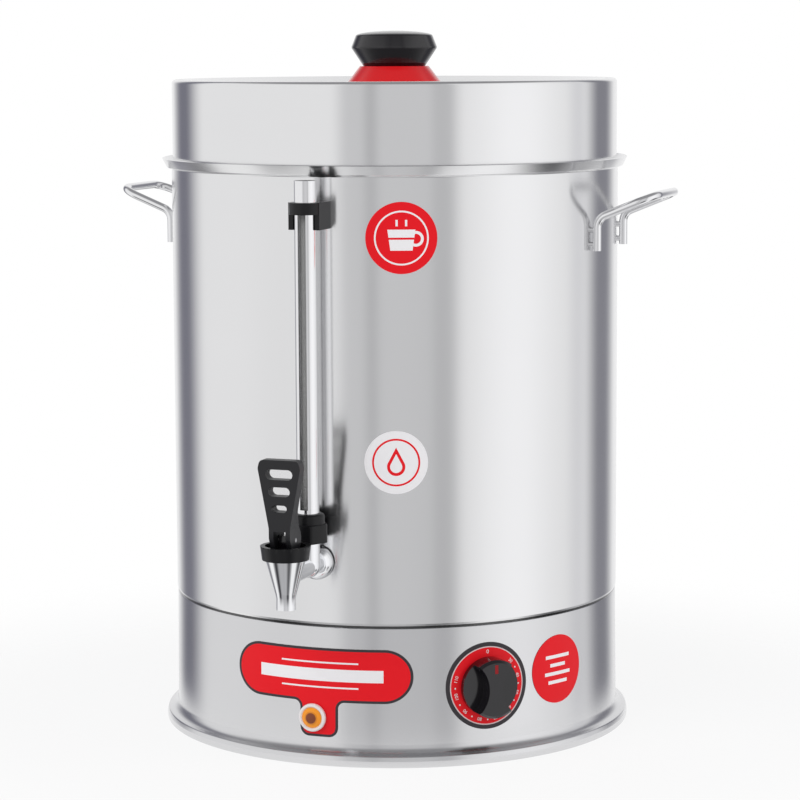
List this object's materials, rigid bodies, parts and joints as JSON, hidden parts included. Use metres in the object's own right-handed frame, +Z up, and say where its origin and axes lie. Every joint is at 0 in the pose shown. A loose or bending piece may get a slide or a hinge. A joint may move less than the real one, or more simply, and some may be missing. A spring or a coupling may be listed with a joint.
{
  "type": "hot water urn",
  "caption": "Steel hot water urn with a lift-off lid, a lever tap, a slotted sight gauge, side handles and a thermostat base.",
  "frame": {"origin": "centre of the foot ring, on the table", "axes": "+Z up along the tank's axis; the tap, gauge and front label point along -Y; the handles lie on +X and -X"},
  "size_m": [0.4374, 0.4426, 0.5338],
  "materials": {
    "steel": "satin brushed stainless steel, grain round the tank",
    "inner_steel": "plain rolled stainless steel",
    "bright_steel": "polished stainless steel",
    "fastener_steel": "zinc plated steel",
    "tap_chrome": "polished chrome plating on brass",
    "black_plastic": "black heat-proof plastic, satin",
    "knob_black": "black heat-proof plastic, half gloss",
    "red_plastic": "red plastic, glossy",
    "label_red": "red printed foil with plain white stripes",
    "badge_red": "red printed foil",
    "badge_white": "white printed foil",
    "dial_black": "black printed dial with a red ring and plain numbers",
    "amber": "clear amber lens",
    "clear_glass": "clear tube",
    "seal": "black silicone rubber",
    "white_insulator": "off-white heat-proof plastic",
    "copper_tone": "bare brass",
    "heater": "dull heater sheath",
    "lead": "silicone-covered wire"
  },
  "bodies": {
    "urn": {"tank_wall": "steel", "tank_floor": "inner_steel", "heating_element": "heater", "element_seals": "seal", "element_nuts": "copper_tone", "handle_right": "bright_steel", "handle_left": "bright_steel", "base_shell": "steel", "bottom_cover": "inner_steel", "tie_rods": "fastener_steel", "tie_rod_nuts": "fastener_steel", "tap_body": "tap_chrome", "tap_collar": "tap_chrome", "tap_seals": "seal", "base_flange": "inner_steel", "tap_lock_nut": "tap_chrome", "tap_bonnet": "black_plastic", "valve_spring": "bright_steel", "gauge_guard": "bright_steel", "gauge_glass": "clear_glass", "gauge_cap": "black_plastic", "gauge_nut": "black_plastic", "gauge_seal": "seal", "gauge_bracket": "black_plastic", "gauge_bracket_screw": "fastener_steel", "gauge_bracket_seal": "seal", "dial_plate": "dial_black", "thermostat_body": "white_insulator", "thermostat_screws": "fastener_steel", "front_label": "label_red", "pilot_lamp_bezel": "bright_steel", "pilot_lamp_lens": "amber", "pilot_lamp_body": "white_insulator", "pilot_lamp_nut": "black_plastic", "red_badge": "badge_red", "white_badge": "badge_white", "setting_sticker": "badge_red", "cable_gland": "black_plastic", "gland_nut": "black_plastic", "thermostat_sensor": "copper_tone", "sensor_clip": "inner_steel", "safety_cutout": "white_insulator", "cutout_studs": "fastener_steel", "terminal_block": "white_insulator", "terminal_block_screws": "fastener_steel", "earth_stud": "copper_tone", "inner_leads": "lead"},
    "lid": {"lid_shell": "steel", "lid_inner_ring": "inner_steel", "lid_knob_base": "red_plastic", "lid_knob": "knob_black", "lid_knob_screw": "fastener_steel", "lid_knob_washer": "fastener_steel"},
    "thermostat_control": {"thermostat_knob": "knob_black", "thermostat_shaft": "fastener_steel", "knob_pointer": "red_plastic"},
    "lever": {"tap_lever": "black_plastic", "lever_pin": "fastener_steel"},
    "valve": {"valve_stem": "bright_steel", "valve_plug": "seal"}
  },
  "joints": [
    {"name": "lid_lift", "type": "slide", "parent": "urn", "child": "lid", "axis": [0, 0, 1], "range_m": [0, 0.12]},
    {"name": "thermostat_turn", "type": "hinge", "parent": "urn", "child": "thermostat_control", "pos_m": [0.12763, -0.14075, 0.0564], "axis": [-0.6717, 0.7408, 0], "range_deg": [0, 270]},
    {"name": "tap_lever_tilt", "type": "hinge", "parent": "urn", "child": "lever", "pos_m": [0, -0.235, 0.177], "axis": [1, 0, 0], "range_deg": [0, 35], "stiffness_Nm_per_rad": 0.05, "springref_deg": -17.19},
    {"name": "valve_lift", "type": "slide", "parent": "urn", "child": "valve", "axis": [0, 0, 1], "range_m": [0, 0.0036], "deforming": ["valve_spring"]}
  ],
  "couplings": [
    {"joint": "valve_lift", "follows": "tap_lever_tilt", "m_per_rad": 0.00573}
  ]
}
